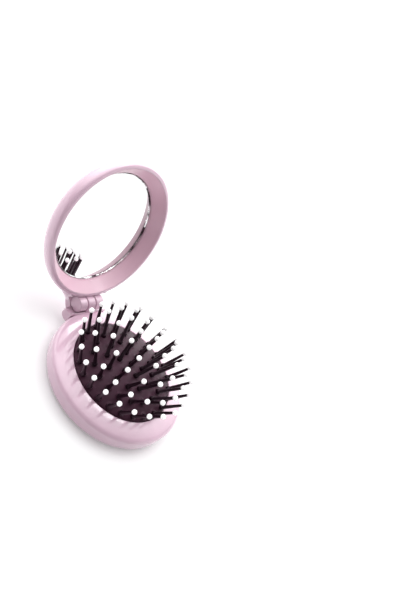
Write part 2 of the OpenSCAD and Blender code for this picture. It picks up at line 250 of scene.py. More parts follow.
def curve(a, b, c, steps, start=0):
    """The curve of bend in even steps of t from 0 to 1, without its first point when start is 1."""
    return bend(a, b, c, np.linspace(0, 1, steps + 1)[start:])


def ease(t):
    """Rises smoothly from 0 at t 0 to 1 at t 1: t^2 (3 - 2t), and stays level outside."""
    t = np.clip(t, 0, 1)
    return t * t * (3 - 2 * t)


def fillets(corners, radii, steps=4):
    """Closed outline with each corner cut back by its radius along both sides and rounded by a curve."""
    corners = np.asarray(corners, float)
    before, after = np.roll(corners, 1, axis=0) - corners, np.roll(corners, -1, axis=0) - corners
    span_in, span_out = np.linalg.norm(before, axis=1), np.linalg.norm(after, axis=1)
    cut = np.minimum(np.broadcast_to(radii, len(corners)), 0.45 * np.minimum(span_in, span_out))
    start, end = corners + before * (cut / span_in)[:, None], corners + after * (cut / span_out)[:, None]
    points = curve(start[:, None], corners[:, None], end[:, None], steps).reshape(-1, 2)
    return points[np.linalg.norm(points - np.roll(points, 1, axis=0), axis=1) > 1e-9]


def revolve(profile, segments):
    """Grid of a profile [radius, height] turned about Z: (r cos a, r sin a, z) for a in a full turn."""
    a = np.arange(segments) * TAU / segments
    r, z = np.asarray(profile, float).T[:, :, None]
    return np.stack([r * np.cos(a), r * np.sin(a), z + 0 * a], axis=-1)


def quads_of(shape, poles=(), along=False):
    """Quads of a grid whose columns join up. Rows in poles are one point; rows join up when along is set."""
    index = np.arange(shape[0] * shape[1]).reshape(shape[:2])
    for row in poles:
        index[row] = index[row, 0]
    if along:
        index = np.vstack([index, index[:1]])
    index = np.hstack([index, index[:, :1]])
    return np.stack([index[:-1, :-1], index[:-1, 1:], index[1:, 1:], index[1:, :-1]], axis=-1).reshape(-1, 4)


def skin(points, along=False):
    """Vertices and outward quads of a closed grid [row, column, xyz] whose columns join up.

    Rows join up too when along is set; otherwise the first and last rows have shrunk to a pole.
    The sign of the volume, the sum of p0.(p1 x p2)/6 over its triangles, tells which way round the quads go.
    """
    quads = quads_of(points.shape, () if along else (0, -1), along)
    vertices = points.reshape(-1, 3)
    p = vertices[quads]
    volume = (p[:, 0] * (np.cross(p[:, 1], p[:, 2]) + np.cross(p[:, 2], p[:, 3]))).sum()
    return vertices, quads if volume > 0 else quads[:, ::-1]


def mesh_of(name, skins, sharp=None):
    """Smooth mesh of several closed skins; a quad with a doubled corner at a pole becomes a triangle."""
    offsets = np.cumsum([0] + [len(v) for v, q in skins[:-1]])
    vertices = np.concatenate([v for v, q in skins])
    quads = np.concatenate([q + o for (v, q), o in zip(skins, offsets)])
    used, quads = np.unique(quads, return_inverse=True)
    vertices, quads = vertices[used], quads.reshape(-1, 4)
    low, high = quads[:, 0] == quads[:, 1], quads[:, 2] == quads[:, 3]
    whole = ~(low | high)
    order = np.concatenate([np.flatnonzero(whole), np.flatnonzero(low), np.flatnonzero(high & ~low)])
    corners = [quads[whole].ravel(), quads[low][:, 1:].ravel(), quads[high & ~low][:, :3].ravel()]
    counts = np.where(whole[order], 4, 3)
    mesh = bpy.data.meshes.new(name)
    mesh.vertices.add(len(vertices))
    mesh.vertices.foreach_set("co", vertices.astype(np.float32).ravel())
    mesh.loops.add(int(counts.sum()))
    mesh.loops.foreach_set("vertex_index", np.concatenate(corners).astype(np.int32))
    mesh.polygons.add(len(counts))
    mesh.polygons.foreach_set("loop_start", np.concatenate([[0], np.cumsum(counts)[:-1]]).astype(np.int32))
    mesh.update(calc_edges=True)
    mesh.validate()
    mesh.shade_smooth()
    if sharp is not None:
        mesh.set_sharp_from_angle(angle=sharp)
    return mesh, order


def piece(name, skins, body, materials, stands_for=(), level=True, sharp=None):
    """Object of closed skins that rides on a body; level gives its flat faces even shading."""
    mesh, order = mesh_of(name, skins, sharp)
    made = bpy.data.objects.new(name, mesh)
    bpy.context.scene.collection.objects.link(made)
    for material in materials:
        mesh.materials.append(material)
    if level:
        weights = made.modifiers.new("Face weights", "WEIGHTED_NORMAL")
        weights.keep_sharp = True
    if body:
        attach(made, body)
    if stands_for:
        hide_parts(*stands_for)
    return made, order


def swing_open(points):
    """Turns points drawn shut to the lid's open stop: y, z turn about the hinge by minus the open angle."""
    c, s = math.cos(-OPEN_ANGLE), math.sin(-OPEN_ANGLE)
    y, z = points[..., 1] - HINGE[1], points[..., 2] - HINGE[2]
    return np.stack([points[..., 0], HINGE[1] + y * c - z * s, HINGE[2] + y * s + z * c], axis=-1)


# ---- finishes


class Wire:
    """A value in a material's node tree. Sums, differences and products of wires add Math nodes."""

    def __init__(self, tree, socket=None):
        self.tree = tree
        self.socket = socket

    def node(self, kind, settings=(), sockets=(), output=0):
        """New node of that kind, with its settings and then its sockets."""
        made = self.tree.nodes.new(kind)
        for name, value in dict(settings).items():
            setattr(made, name, value)
        for name, value in dict(sockets).items():
            if isinstance(value, Wire):
                self.tree.links.new(value.socket, made.inputs[name])
            else:
                made.inputs[name].default_value = value
        return Wire(self.tree, made.outputs[output])

    def math(self, operation, a, b=0.0):
        """Math node of two wires or numbers."""
        return self.node("ShaderNodeMath", {"operation": operation}, {0: a, 1: b})

    def __add__(self, other):
        return self.math("ADD", self, other)

    __radd__ = __add__

    def __sub__(self, other):
        return self.math("SUBTRACT", self, other)

    def __rsub__(self, other):
        return self.math("SUBTRACT", other, self)

    def __mul__(self, other):
        return self.math("MULTIPLY", self, other)

    __rmul__ = __mul__

    def place(self):
        """Object coordinates."""
        return self.node("ShaderNodeTexCoord", output="Object")

    def stretched(self, scale, turn=(0.0, 0.0, 0.0)):
        """Object coordinates scaled along each axis, for a pattern that runs one way."""
        return self.node("ShaderNodeMapping", {"vector_type": "TEXTURE"},
                         {"Vector": self.place(), "Scale": scale, "Rotation": turn})

    def noise(self, scale, detail=3.0, where=None):
        """Smooth noise from 0 to 1, on Object coordinates unless told otherwise; scale in bumps a metre."""
        sockets = {"Vector": where or self.place(), "Scale": scale, "Detail": detail}
        return self.node("ShaderNodeTexNoise", sockets=sockets, output="Fac")

    def between(self, low, high):
        """0 below low, 1 above high and a smooth step between."""
        return self.node("ShaderNodeMapRange", {"interpolation_type": "SMOOTHSTEP"},
                         {"Value": self, "From Min": low, "From Max": high})

    def colours(self, low, high):
        """The colour low where this value is 0 and high where it is 1."""
        low, high = (c if isinstance(c, Wire) else (*c, 1) for c in (low, high))
        return self.node("ShaderNodeMix", {"data_type": "RGBA"}, {0: self, 6: low, 7: high}, output=2)

    def shades(self, colour, low, high):
        """A colour at the factor low where this value is 0 and at high where it is 1."""
        return self.colours(tone(colour, low), tone(colour, high))

    def bump(self, strength, distance):
        """Normal of a surface whose height is this value."""
        sockets = {"Height": self, "Strength": strength, "Distance": distance}
        return self.node("ShaderNodeBump", sockets=sockets)


def tone(colour, factor):
    """A colour made lighter or darker by a factor."""
    return tuple(min(1.0, c * factor) for c in colour)


def finish(name, fixed, varied):
    """Material with one Principled shader: fixed holds even sockets, varied takes a Wire and gives others."""
    material = bpy.data.materials.new(name)
    material.use_nodes = True
    tree = material.node_tree
    shader = tree.nodes["Principled BSDF"]
    for socket, value in fixed.items():
        shader.inputs[socket].default_value = value
    for socket, wire in varied(Wire(tree)).items():
        tree.links.new(wire.socket, shader.inputs[socket])
    return material


def moulded_plastic(name, colour, rough, coat):
    """Injection-moulded gloss plastic: faint flow marks, smudges and hairlines, and a gently wavy skin."""
    def varied(wire):
        flow = wire.noise(60, 4, wire.stretched((1.0, 1.0, 3.0)))
        smudge = wire.noise(140, 3).between(0.35, 0.75)
        hairline = wire.noise(900, 2, wire.stretched((14.0, 1.0, 1.0), (0.3, 0.2, 0.6))).between(0.66, 0.78)
        skin_height = wire.noise(2600, 2) * 0.04 + wire.noise(130, 2)
        return {"Base Color": flow.between(0.25, 0.75).shades(colour, 0.975, 1.02),
                "Roughness": rough + 0.07 * smudge + 0.05 * hairline,
                "Normal": skin_height.bump(0.35, 0.04 * MM)}
    return finish(name, {"Coat Weight": coat, "Coat Roughness": 0.05}, varied)


def dome_rubber(name, colour):
    """Satin rubber, mottled and slightly dusty, with painted shade darkening the pockets round the heads."""
    def varied(wire):
        mottle = wire.noise(220, 4).between(0.3, 0.7)
        dust = wire.noise(3200, 1).between(0.68, 0.8)
        # The pocket's depth on the vertices is the mask of painted shade in the pockets.
        pocket = wire.node("ShaderNodeAttribute", {"attribute_name": "pocket"}, output="Fac")
        base = mottle.shades(colour, 0.85, 1.15)
        dusty = (0.12 * dust).colours(base, (0.3, 0.24, 0.28))
        # Painted shade: near-black colour fills the pockets round the heads.
        painted_pocket_shade = (0.75 * pocket).colours(dusty, (0.008, 0.001, 0.005))
        return {"Base Color": painted_pocket_shade, "Roughness": 0.42 + 0.10 * mottle + 0.12 * dust,
                "Normal": wire.noise(1500, 4).bump(0.22, 0.03 * MM)}
    return finish(name, {"Specular IOR Level": 0.25, "Specular Tint": (1, 0.72, 0.86, 1)}, varied)


def pin_plastic(name, colour):
    """Glossy near-black plastic with a little moulding shade along each pin."""
    def varied(wire):
        shade = wire.noise(500, 3).between(0.3, 0.7)
        return {"Base Color": shade.shades(colour, 0.8, 1.3),
                "Roughness": 0.26 + 0.12 * wire.noise(900, 2),
                "Normal": wire.noise(1800, 2).bump(0.1, 0.02 * MM)}
    return finish(name, {"Specular IOR Level": 0.4, "Specular Tint": (1, 0.75, 0.88, 1)}, varied)


def dipped_ball(name, colour):
    """White epoxy drop with a smooth, slightly uneven skin, and painted light: a white glow that keeps it
    white all over.
    """
    def varied(wire):
        uneven = wire.noise(700, 2)
        return {"Base Color": uneven.shades(colour, 0.97, 1.03),
                "Roughness": 0.2 + 0.1 * uneven,
                "Normal": uneven.bump(0.1, 0.03 * MM)}
    # Painted light: the white emission makes the ball glow white, though it is no lamp.
    fixed = {"Emission Color": (1, 1, 1, 1), "Emission Strength": 0.35, "Coat Weight": 0.3}
    return finish(name, fixed, varied)


def silvered_glass(name, colour):
    """Mirror with very faint wiping marks."""
    def varied(wire):
        wiped = wire.noise(120, 4, wire.stretched((5.0, 1.0, 1.0), (0.4, 0.0, 0.8))).between(0.45, 0.8)
        return {"Base Color": wiped.colours(colour, tone(colour, 0.99)), "Roughness": 0.008 + 0.018 * wiped}
    return finish(name, {"Metallic": 1.0}, varied)


def bright_edging(name, colour):
    """Bright metal edging round the glass, rippled along its length so that it mirrors in broken strokes,
    with painted dark streaks of reflection and shade in its colour.
    """
    def varied(wire):
        ripple = wire.noise(420, 2)
        # Painted reflection and shade: patches of near-black colour stand in for the dark lines along the
        # glass edge.
        painted_dark_streaks = wire.noise(160, 3).between(0.42, 0.58)
        return {"Base Color": painted_dark_streaks.colours((0.05, 0.03, 0.04), colour), "Roughness": 0.08 + 0.1 * ripple,
                "Normal": ripple.bump(0.9, 0.5 * MM)}
    return finish(name, {"Metallic": 1.0}, varied)


def drawn_steel(name, colour):
    """Steel wire with fine drawing lines along X."""
    def varied(wire):
        lines = wire.noise(2500, 3, wire.stretched((30.0, 1.0, 1.0)))
        return {"Base Color": lines.shades(colour, 0.85, 1.1),
                "Roughness": 0.24 + 0.2 * lines,
                "Normal": lines.bump(0.3, 0.01 * MM)}
    return finish(name, {"Metallic": 1.0}, varied)


def cell_foam(name, colour):
    """Matt foam with small cells."""
    def varied(wire):
        cells = wire.node("ShaderNodeTexVoronoi", sockets={"Vector": wire.place(), "Scale": 4000.0},
                          output="Distance")
        return {"Base Color": cells.between(0.0, 0.5).shades(colour, 0.5, 1.1),
                "Roughness": 0.85 + 0.1 * cells,
                "Normal": cells.bump(0.8, 0.1 * MM)}
    return finish(name, {"Specular IOR Level": 0.2}, varied)


# Maker and colour of each finish, and for the plastics the roughness and the weight of the gloss coat.
FINISHES = {
    "shell": (moulded_plastic, "shell", 0.18, 0.9),
    "back": (moulded_plastic, "back", 0.26, 0.25),
    "bezel": (moulded_plastic, "bezel", 0.34, 0.15),
    "rubber": (dome_rubber, "rubber"),
    "pin": (pin_plastic, "pin"),
    "ball": (dipped_ball, "ball"),
    "mirror": (silvered_glass, "silver"),
    "edging": (bright_edging, "silver"),
    "steel": (drawn_steel, "steel"),
    "foam": (cell_foam, "foam"),
}


def finished(kind):
    """The material of a finish, made the first time that it is asked for."""
    name = "hairbrush_" + kind
    make, colour, *how = FINISHES[kind]
    colour = getattr(bpy.context.scene.hairbrush_finish, colour)
    return bpy.data.materials.get(name) or make(name, colour, *how)


def sizes(context, *names):
    """The property groups of those names."""
    return [getattr(context.scene, "hairbrush_" + name) for name in names]


# ---- shapes that pieces share


def side_foot(rings):
    """Height at which the side of the ring ends and its rounded back begins."""
    return 0.4 * rings.height


def back_round(rings, start, seam_r, steps):
    """Rounded back from t = start to the seam: a quadratic curve from the side's foot, t 0, to the land, t 1.

    Its radius is R - t^2 W, with W the rounding's width, so it meets the seam at t = sqrt((R - seam) / W).
    """
    r, wide = rings.outer_r, rings.back_round
    t = np.linspace(start, math.sqrt((r - seam_r) / wide), steps)
    return bend([r, side_foot(rings)], [r, 0], [r - wide, 0], t)


def front_points(rings):
    """Bulge, shoulder and shoulder's corner of the front ring, all in line, as [radius, height]."""
    along, fall = 0.55, 0.2  # the bulge's place as parts of the way from the opening to the shoulder
    shoulder = np.array([rings.outer_r - rings.shoulder_w, rings.height - rings.front_fall])
    bulge = np.array([rings.opening_r + along * (shoulder[0] - rings.opening_r),
                      rings.height - fall * rings.front_fall])
    corner = bulge + (shoulder - bulge) * (rings.outer_r - bulge[0]) / (shoulder[0] - bulge[0])
    return bulge, shoulder, corner


def dome_r(rings, pad):
    """Radius of the sphere through the rim of the pad and the top of the dome: (rim^2 + h^2) / 2h."""
    return ((rings.opening_r - pad.gap) ** 2 + pad.dome_h**2) / (2 * pad.dome_h)


def dome_z(rings, pad, r):
    """Height of the dome's outer face at radius r, on that sphere: z = top - R + sqrt(R^2 - r^2)."""
    sphere = dome_r(rings, pad)
    return rings.height + pad.dome_h - sphere + np.sqrt(sphere**2 - r**2)


def lid_levels(rings, lid):
    """Radii and heights of the shut lid: side, rim's foot and top, back, glass, bezel's lip and window."""
    bulge, _, corner = front_points(rings)
    side_r = rings.outer_r - lid.side_in
    rim_r = side_r - lid.rim_w
    rim_z = np.interp(rim_r, *np.stack([bulge, corner], axis=1)) + lid.shut_gap
    rim_h, glass_z = 2 * MM, rim_z + lid.mirror_depth
    return SimpleNamespace(side_r=side_r, rim_r=rim_r, rim_z=rim_z, rim_top_z=rim_z + rim_h,
                           back_z=rim_z + lid.height, glass_z=glass_z, lip_z=glass_z - lid.mirror_sink,
                           window_r=lid.mirror_r - lid.mirror_lap)


def cap(lid, at, depth, angles):
    """Superellipse of the lid's back at a depth under its face: r = R cos^(2/n) a and z = foot + H sin a."""
    return np.stack([(at.side_r - depth) * np.cos(angles) ** (2 / lid.square),
                     at.rim_top_z + (at.back_z - at.rim_top_z - depth) * np.sin(angles)], axis=-1)


def about_hinge(x, r, a):
    """Points at x along the hinge axis and r, a round it: (x, y0 + r cos a, z0 + r sin a)."""
    return np.stack(np.broadcast_arrays(x, HINGE[1] + r * np.cos(a), HINGE[2] + r * np.sin(a)), axis=-1)


def knuckle(section, x0, x1, edge, bore=None):
    """Grid of a hinge knuckle: an outline r(a) about the hinge axis carried from x0 to x1, with rounded ends.

    Each end's rows follow a quarter turn q: x moves by edge (1 - cos q) and the outline shrinks by
    edge (1 - sin q). With bore = (radius, depth), the end at x1 goes on into a blind hole.
    """
    q = np.linspace(0, math.pi / 2, 5)
    out, inset = edge * (1 - np.cos(q)), edge * (1 - np.sin(q))
    x = np.concatenate([[x0], x0 + out, x1 - out[::-1], [x1]])
    r = section - np.concatenate([[0], inset, inset[::-1], [0]])[:, None]
    r[[0, -1]] = 0
    if bore:
        r = np.vstack([r[:-1], np.full((2, len(section)), bore[0]), r[-1:]])
        x = np.concatenate([x[:-1], [x1, x1 - bore[1], x1 - bore[1]]])
    return about_hinge(x[:, None], r, ROUND)


def tab_plate(angles, inner, outer, half_w, edge):
    """Grid of a hinge tab: a rounded rectangle carried round the hinge axis, rounded at the last angle.

    At each angle the rectangle lies between the radii inner and outer and is 2 half_w wide along X.
    The end's rows follow a quarter turn: the angle moves on by sin q and the rectangle shrinks by 1 - cos q.
    """
    q = np.linspace(0, math.pi / 2, 5)[1:]
    onward = math.copysign(2 * edge / (inner + outer[-1]), angles[-1] - angles[0])
    a = np.concatenate([angles, angles[-1] + onward * np.sin(q)])
    shrink = np.concatenate([np.zeros(len(angles)), edge * (1 - np.cos(q))])
    inner, outer = inner + shrink, np.concatenate([outer, np.full(4, outer[-1])]) - shrink
    square = np.array([[-1, -1], [1, -1], [1, 1], [-1, 1]])
    loops = np.array([fillets(square * half, edge, 5) for half in zip(half_w - shrink, (outer - inner) / 2)])
    grid = about_hinge(loops[..., 0], loops[..., 1] + ((inner + outer) / 2)[:, None], a[:, None])
    poles = grid.mean(axis=1, keepdims=True) + 0 * grid
    return np.vstack([poles[:1], grid, poles[-1:]])


def push_out(plate, radius):
    """Moves a tab's points that are nearer to the Z axis than a radius out to it, into the wall they join."""
    plate[..., :2] *= np.maximum(1, radius / np.hypot(plate[..., 0], plate[..., 1]))[..., None]


# ---- the pieces


def front_ring_profile(rings, pad):
    """Closed profile of the front ring: bulged front, shoulder, side, rounded back and hollow inside."""
    bulge, shoulder, corner = front_points(rings)
    side_top, lip, roof_fall, rise = 0.6 * rings.height, 1.5 * rings.edge, 0.2 * MM, 0.02 * MM
    seam_r = rings.outer_r - rings.seam_in + rings.seam_gap
    back = back_round(rings, 0, seam_r, 13)
    front = curve([rings.opening_r, rings.height], bulge, shoulder, 28)
    skirt_r = rings.opening_r + rings.skirt_w
    flange_z = (rings.height + pad.flange_t) / 2
    return np.vstack([
        [[rings.opening_r, flange_z]],
        curve([rings.opening_r, rings.height - lip], [rings.opening_r, rings.height], front[2], 5), front[3:],
        curve(shoulder, corner, [rings.outer_r, side_top], 12, 1),
        back[:-1], [back[-1] + [rings.bevel, rise], back[-1] + [0, rings.bevel]],
        [[seam_r, shoulder[1] - rings.wall], [skirt_r, rings.height - rings.wall - roof_fall],
         [skirt_r, flange_z]]])


class HAIRBRUSH_OT_front_ring(bpy.types.Operator):
    """Front ring with its hinge tab and the middle knuckle"""

    bl_idname = "hairbrush.front_ring"
    bl_label = "Front Ring"

    def execute(self, context):
        rings, pad, hinge = sizes(context, "rings", "pad", "hinge")
        ring = revolve(front_ring_profile(rings, pad), rings.segments)
        clear_r = hinge.barrel_r + hinge.barrel_gap
        ring_gap = HINGE[1] - rings.outer_r
        plate = self.tab(rings, hinge, clear_r, ring_gap)
        # The knuckle runs into the ring between these two directions, in degrees.
        ring_from, level, side_lap = -153, 179, 0.8 * MM
        down = np.degrees(ROUND)
        down -= 360 * (down > 180)
        section = np.full(len(down), hinge.barrel_r)
        section[(down < -np.degrees(hinge.tab_angle) - 2) & (down > ring_from)] = clear_r + hinge.web_lap
        back = (down <= ring_from) | (down > level)
        section[back] = (ring_gap + side_lap) / np.abs(np.cos(ROUND[back]))
        middle = knuckle(section, -hinge.knuckle_w / 2, hinge.knuckle_w / 2, hinge.edge)
        piece("front_ring", [skin(ring, along=True), skin(plate), skin(middle)], "base",
              [finished("shell")], ["base_shell"])
        return {"FINISHED"}

    def tab(self, rings, hinge, clear_r, ring_gap):
        """Tab from the ring's side round to its stop, with rounded outer corners in plan.

        Its outside is the nearest of the ring's floor, its side and a radius that eases in towards the end.
        """
        start, end, easing = math.radians(-150.8), -hinge.tab_angle - 0.06, 0.6
        side_lap, wall_lap, wide_r, end_fall, corner = 1.2 * MM, 1 * MM, 8.4 * MM, 0.3 * MM, 1.6 * MM
        a = np.linspace(start, 0, 40)
        a = np.append(a[a < end], end)
        nose = ease((a - end + easing) / easing)
        floor, side = (HINGE[2] - rings.wall) / np.abs(np.sin(a)), (ring_gap + side_lap) / np.abs(np.cos(a))
        free = (1 - nose) * wide_r + nose * (hinge.tab_reach - end_fall)
        reach = np.minimum(np.minimum(floor, side), free)
        half = hinge.tab_w / 2
        plate = tab_plate(a, clear_r, reach, half, hinge.edge)
        past = np.clip(plate[..., 1] - HINGE[1], 0, corner)
        plate[..., 0] *= (half - corner + np.sqrt(corner**2 - past**2)) / half
        push_out(plate, rings.outer_r - wall_lap)
        return plate


class HAIRBRUSH_OT_back_ring(bpy.types.Operator):
    """Back ring that snaps into the front ring and clamps the rubber"""

    bl_idname = "hairbrush.back_ring"
    bl_label = "Back Ring"

    def execute(self, context):
        rings, pad = sizes(context, "rings", "pad")
        opening_r, skirt_r = rings.opening_r, rings.opening_r + rings.skirt_w
        mouth, step_z, fall, snap_w, snap_gap = 0.7 * MM, 1.2 * MM, 0.03 * MM, 1.6 * MM, 0.05 * MM
        seam_r = rings.outer_r - rings.seam_in
        snap_r, snap_in, snap_top = seam_r + rings.seam_gap - snap_gap, seam_r - snap_w, 0.4 * rings.height
        flange_z = (rings.height - pad.flange_t) / 2
        back = back_round(rings, 1, seam_r, 9)
        profile = np.vstack([
            [[opening_r, flange_z], [opening_r, step_z]],
            curve([opening_r, mouth], [opening_r, 0], [opening_r + mouth, 0], 6),
            back[:-1], [back[-1] - [rings.bevel, fall], back[-1] + [0, rings.bevel]],
            [[seam_r, step_z], [snap_r, step_z], [snap_r, snap_top], [snap_in, snap_top],
             [snap_in, rings.wall], [skirt_r, rings.wall], [skirt_r, flange_z]]])
        piece("snap_ring", [skin(revolve(profile, rings.segments), along=True)], "base",
              [finished("back")], ["back_ring"])
        return {"FINISHED"}


def pin_places(context):
    """Root on the rubber, axis, square to the rubber, length, head's height and node of each pin.

    Rows are rings r = row * pitch, the outermost with two pins to a node. The tip lies on the tips' dome: the
    length is the larger root of |root + length * axis - centre| = R.
    """
    rings, pad, pins = sizes(context, "rings", "pad", "pins")
    rows = len(pins.tilt)
    pitch = (rings.opening_r - pins.row_margin) / rows
    places = []
    for row in range(rows + 1):
        count = 6 * row or 1
        tilt = pins.tilt[row - 1] if row else 0.0
        r = row * pitch
        z = dome_z(rings, pad, r)
        slant = math.asin(r / dome_r(rings, pad))
        lean = abs(tilt - slant)
        depth = pad.pocket_depth - pad.thick - pins.head_gap - pins.head_r * math.sin(lean)
        away = np.array([r, z - (rings.height + pins.tip_h - pins.tip_dome_r)])
        along = away @ [math.sin(tilt), math.cos(tilt)]
        reach = math.sqrt(along**2 - away @ away + pins.tip_dome_r**2) - along
        for i in range(1, count + 1):
            a = pins.first + (TAU * i / count if row else 0)
            outward, up = np.array([math.cos(a), math.sin(a), 0]), np.array([0, 0, 1])
            axis, square = (outward * math.sin(turn) + up * math.cos(turn) for turn in (tilt, slant))
            name = i if row < rows else f"pair_{i // 2 % (count // 2) + 1}"
            node = f"pin_row{row}_{name}" if row else "pin_centre"
            places.append((outward * r + up * z, axis, square, reach, depth / math.cos(lean), node))
    return places


def pin_profile(pins, reach, head_top):
    """Profile [radius, height on the pin] from the head's dimple to the ball's top, and its dip's start."""
    head, edge, foot_z, neck, lap = head_top - pins.head_t, 0.3 * MM, 0.3 * MM, 0.95 * MM, 0.1 * MM
    dimple, floor_r, foot_r, mouth_r, lip = 0.25 * MM, 0.35 * MM, 0.5 * MM, 0.7 * MM, 0.02 * MM
    top = foot_z + pins.collar_h
    flare = math.radians(32)
    a = flare + (math.pi - flare) * np.linspace(0, 1, 9)[:-1]
    points = np.vstack([
        [[0, head + dimple], [floor_r, head + dimple], [foot_r, head + lip], [mouth_r, head]],
        curve([pins.head_r - edge, head], [pins.head_r, head], [pins.head_r, head + edge], 3),
        [[pins.head_r, head_top], [neck, head_top], [neck, -lap], [pins.collar_r, -lap / 2]],
        curve([pins.collar_r, top - 2 * edge], [pins.collar_r, top - 0.5 * edge],
              [(pins.collar_r + pins.root_r) / 2, top - 0.2 * edge], 3),
        [[pins.root_r, top + 0.5 * edge], [pins.tip_r, reach - pins.ball_r * math.cos(flare) - lap]]])
    ball = np.stack([pins.ball_r * np.sin(a), reach - pins.ball_r * np.cos(a)], axis=-1)
    return np.vstack([points, ball, [[0, reach + pins.ball_r]]]), len(points)


class HAIRBRUSH_OT_pins(bpy.types.Operator):
    """Ball-tipped pins, each with its collar, its head and its dipped ball"""

    bl_idname = "hairbrush.pins"
    bl_label = "Pins"

    def execute(self, context):
        pins = context.scene.hairbrush_pins
        groups = {}
        for place in pin_places(context):
            groups.setdefault(place[-1], []).append(place)
        for node, places in groups.items():
            skins, white = [], []
            for root, axis, _, reach, head_top, _ in places:
                profile, dip = pin_profile(pins, reach, head_top)
                grid = revolve(profile, pins.segments)
                side = np.cross(axis, [1.0, 0.0, 0.0])
                side /= np.linalg.norm(side)
                basis = np.stack([np.cross(side, axis), side, axis])
                skins.append(skin(root + grid @ basis))
                white.append(np.repeat(np.arange(len(profile) - 1) >= dip, pins.segments))
            finishes = [finished("pin"), finished("ball")]
            made, order = piece("dipped_" + node, skins, node, finishes, [node], level=False,
                                sharp=math.radians(50))
            made.data.polygons.foreach_set("material_index", np.concatenate(white)[order].astype(np.int32))
        return {"FINISHED"}


class HAIRBRUSH_OT_pad(bpy.types.Operator):
    """Rubber dome that swells round the collars and has a pocket round each head"""

    bl_idname = "hairbrush.pad"
    bl_label = "Rubber Pad"

    def execute(self, context):
        rings, pad = sizes(context, "rings", "pad")
        rim, crease, rim_round = rings.opening_r - pad.gap, 0.5 * MM, 0.6 * MM
        inner, wide = rim - pad.thick, rings.opening_r + pad.flange_w
        low, high = (rings.height - pad.flange_t) / 2, (rings.height + pad.flange_t) / 2
        front_r, rear_r = np.linspace(0, rim - crease, 56), np.linspace(inner, 0, 100)
        front = np.stack([front_r, dome_z(rings, pad, front_r)], axis=-1)
        rear = np.stack([rear_r, dome_z(rings, pad, rear_r) - pad.thick], axis=-1)
        corner = curve(front[-1], [rim, rings.height], [rim, rings.height - rim_round], 4, 1)
        wall = [[rim, high], [wide, high], [wide, low], [inner, low], [inner, rear[0, 1] - crease]]
        grid = revolve(np.vstack([front, corner, wall, rear]), 520)
        # Pocket depths, kept as the mask of the painted shade in the pockets.
        pocket = np.zeros(grid.shape[:2])
        self.swell(context, grid, pocket, len(front), len(grid) - len(rear))
        made, _ = piece("rubber_dome", [skin(grid)], None, [finished("rubber")], ["rubber_pad"],
                        level=False, sharp=math.radians(60))
        self.store(made, pocket)
        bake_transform(made)
        return {"FINISHED"}

    def swell(self, context, grid, pocket, front_rows, rear_start):
        """Moves the front out round each collar and the rear round each head, by height (1 - ease(distance)).

        The front goes by the distance from the pin's axis, the rear by that from the square to the rubber.
        """
        rings, pad, pins = sizes(context, "rings", "pad", "pins")
        mound_soft, pocket_soft = 0.9 * MM, 0.25 * MM
        centre = np.array([0, 0, dome_z(rings, pad, 0.0) - dome_r(rings, pad)])
        front, rear = grid[:front_rows].copy(), grid[rear_start:].copy()
        mound, dent = np.zeros(front.shape[:2]), np.zeros(rear.shape[:2])
        for root, axis, square, *_ in pin_places(context):
            for points, field, line, wide, soft in (
                    (front, mound, axis, pins.collar_r, mound_soft),
                    (rear, dent, square, pad.pocket_r - pocket_soft, pocket_soft)):
                offset = points - root
                distance = np.linalg.norm(offset - (offset @ line)[..., None] * line, axis=-1)
                np.maximum(field, 1 - ease((distance - wide) / soft), out=field)
        for rows, points, field, height in ((slice(0, front_rows), front, mound, pad.mound_h),
                                            (slice(rear_start, None), rear, dent, pad.pocket_depth)):
            normal = points - centre
            normal /= np.linalg.norm(normal, axis=-1, keepdims=True)
            grid[rows] = points + normal * (height * field)[..., None]
        pocket[rear_start:] = dent

    def store(self, made, pocket):
        """Keeps the pocket's depth from 0 to 1 on the vertices, as the mask of the finish's painted shade."""
        flat = pocket.ravel()
        columns = pocket.shape[1]
        keep = np.concatenate([flat[:1], flat[columns:-columns], flat[-columns:-columns + 1]])
        attribute = made.data.attributes.new("pocket", "FLOAT", "POINT")
        attribute.data.foreach_set("value", keep.astype(np.float32))


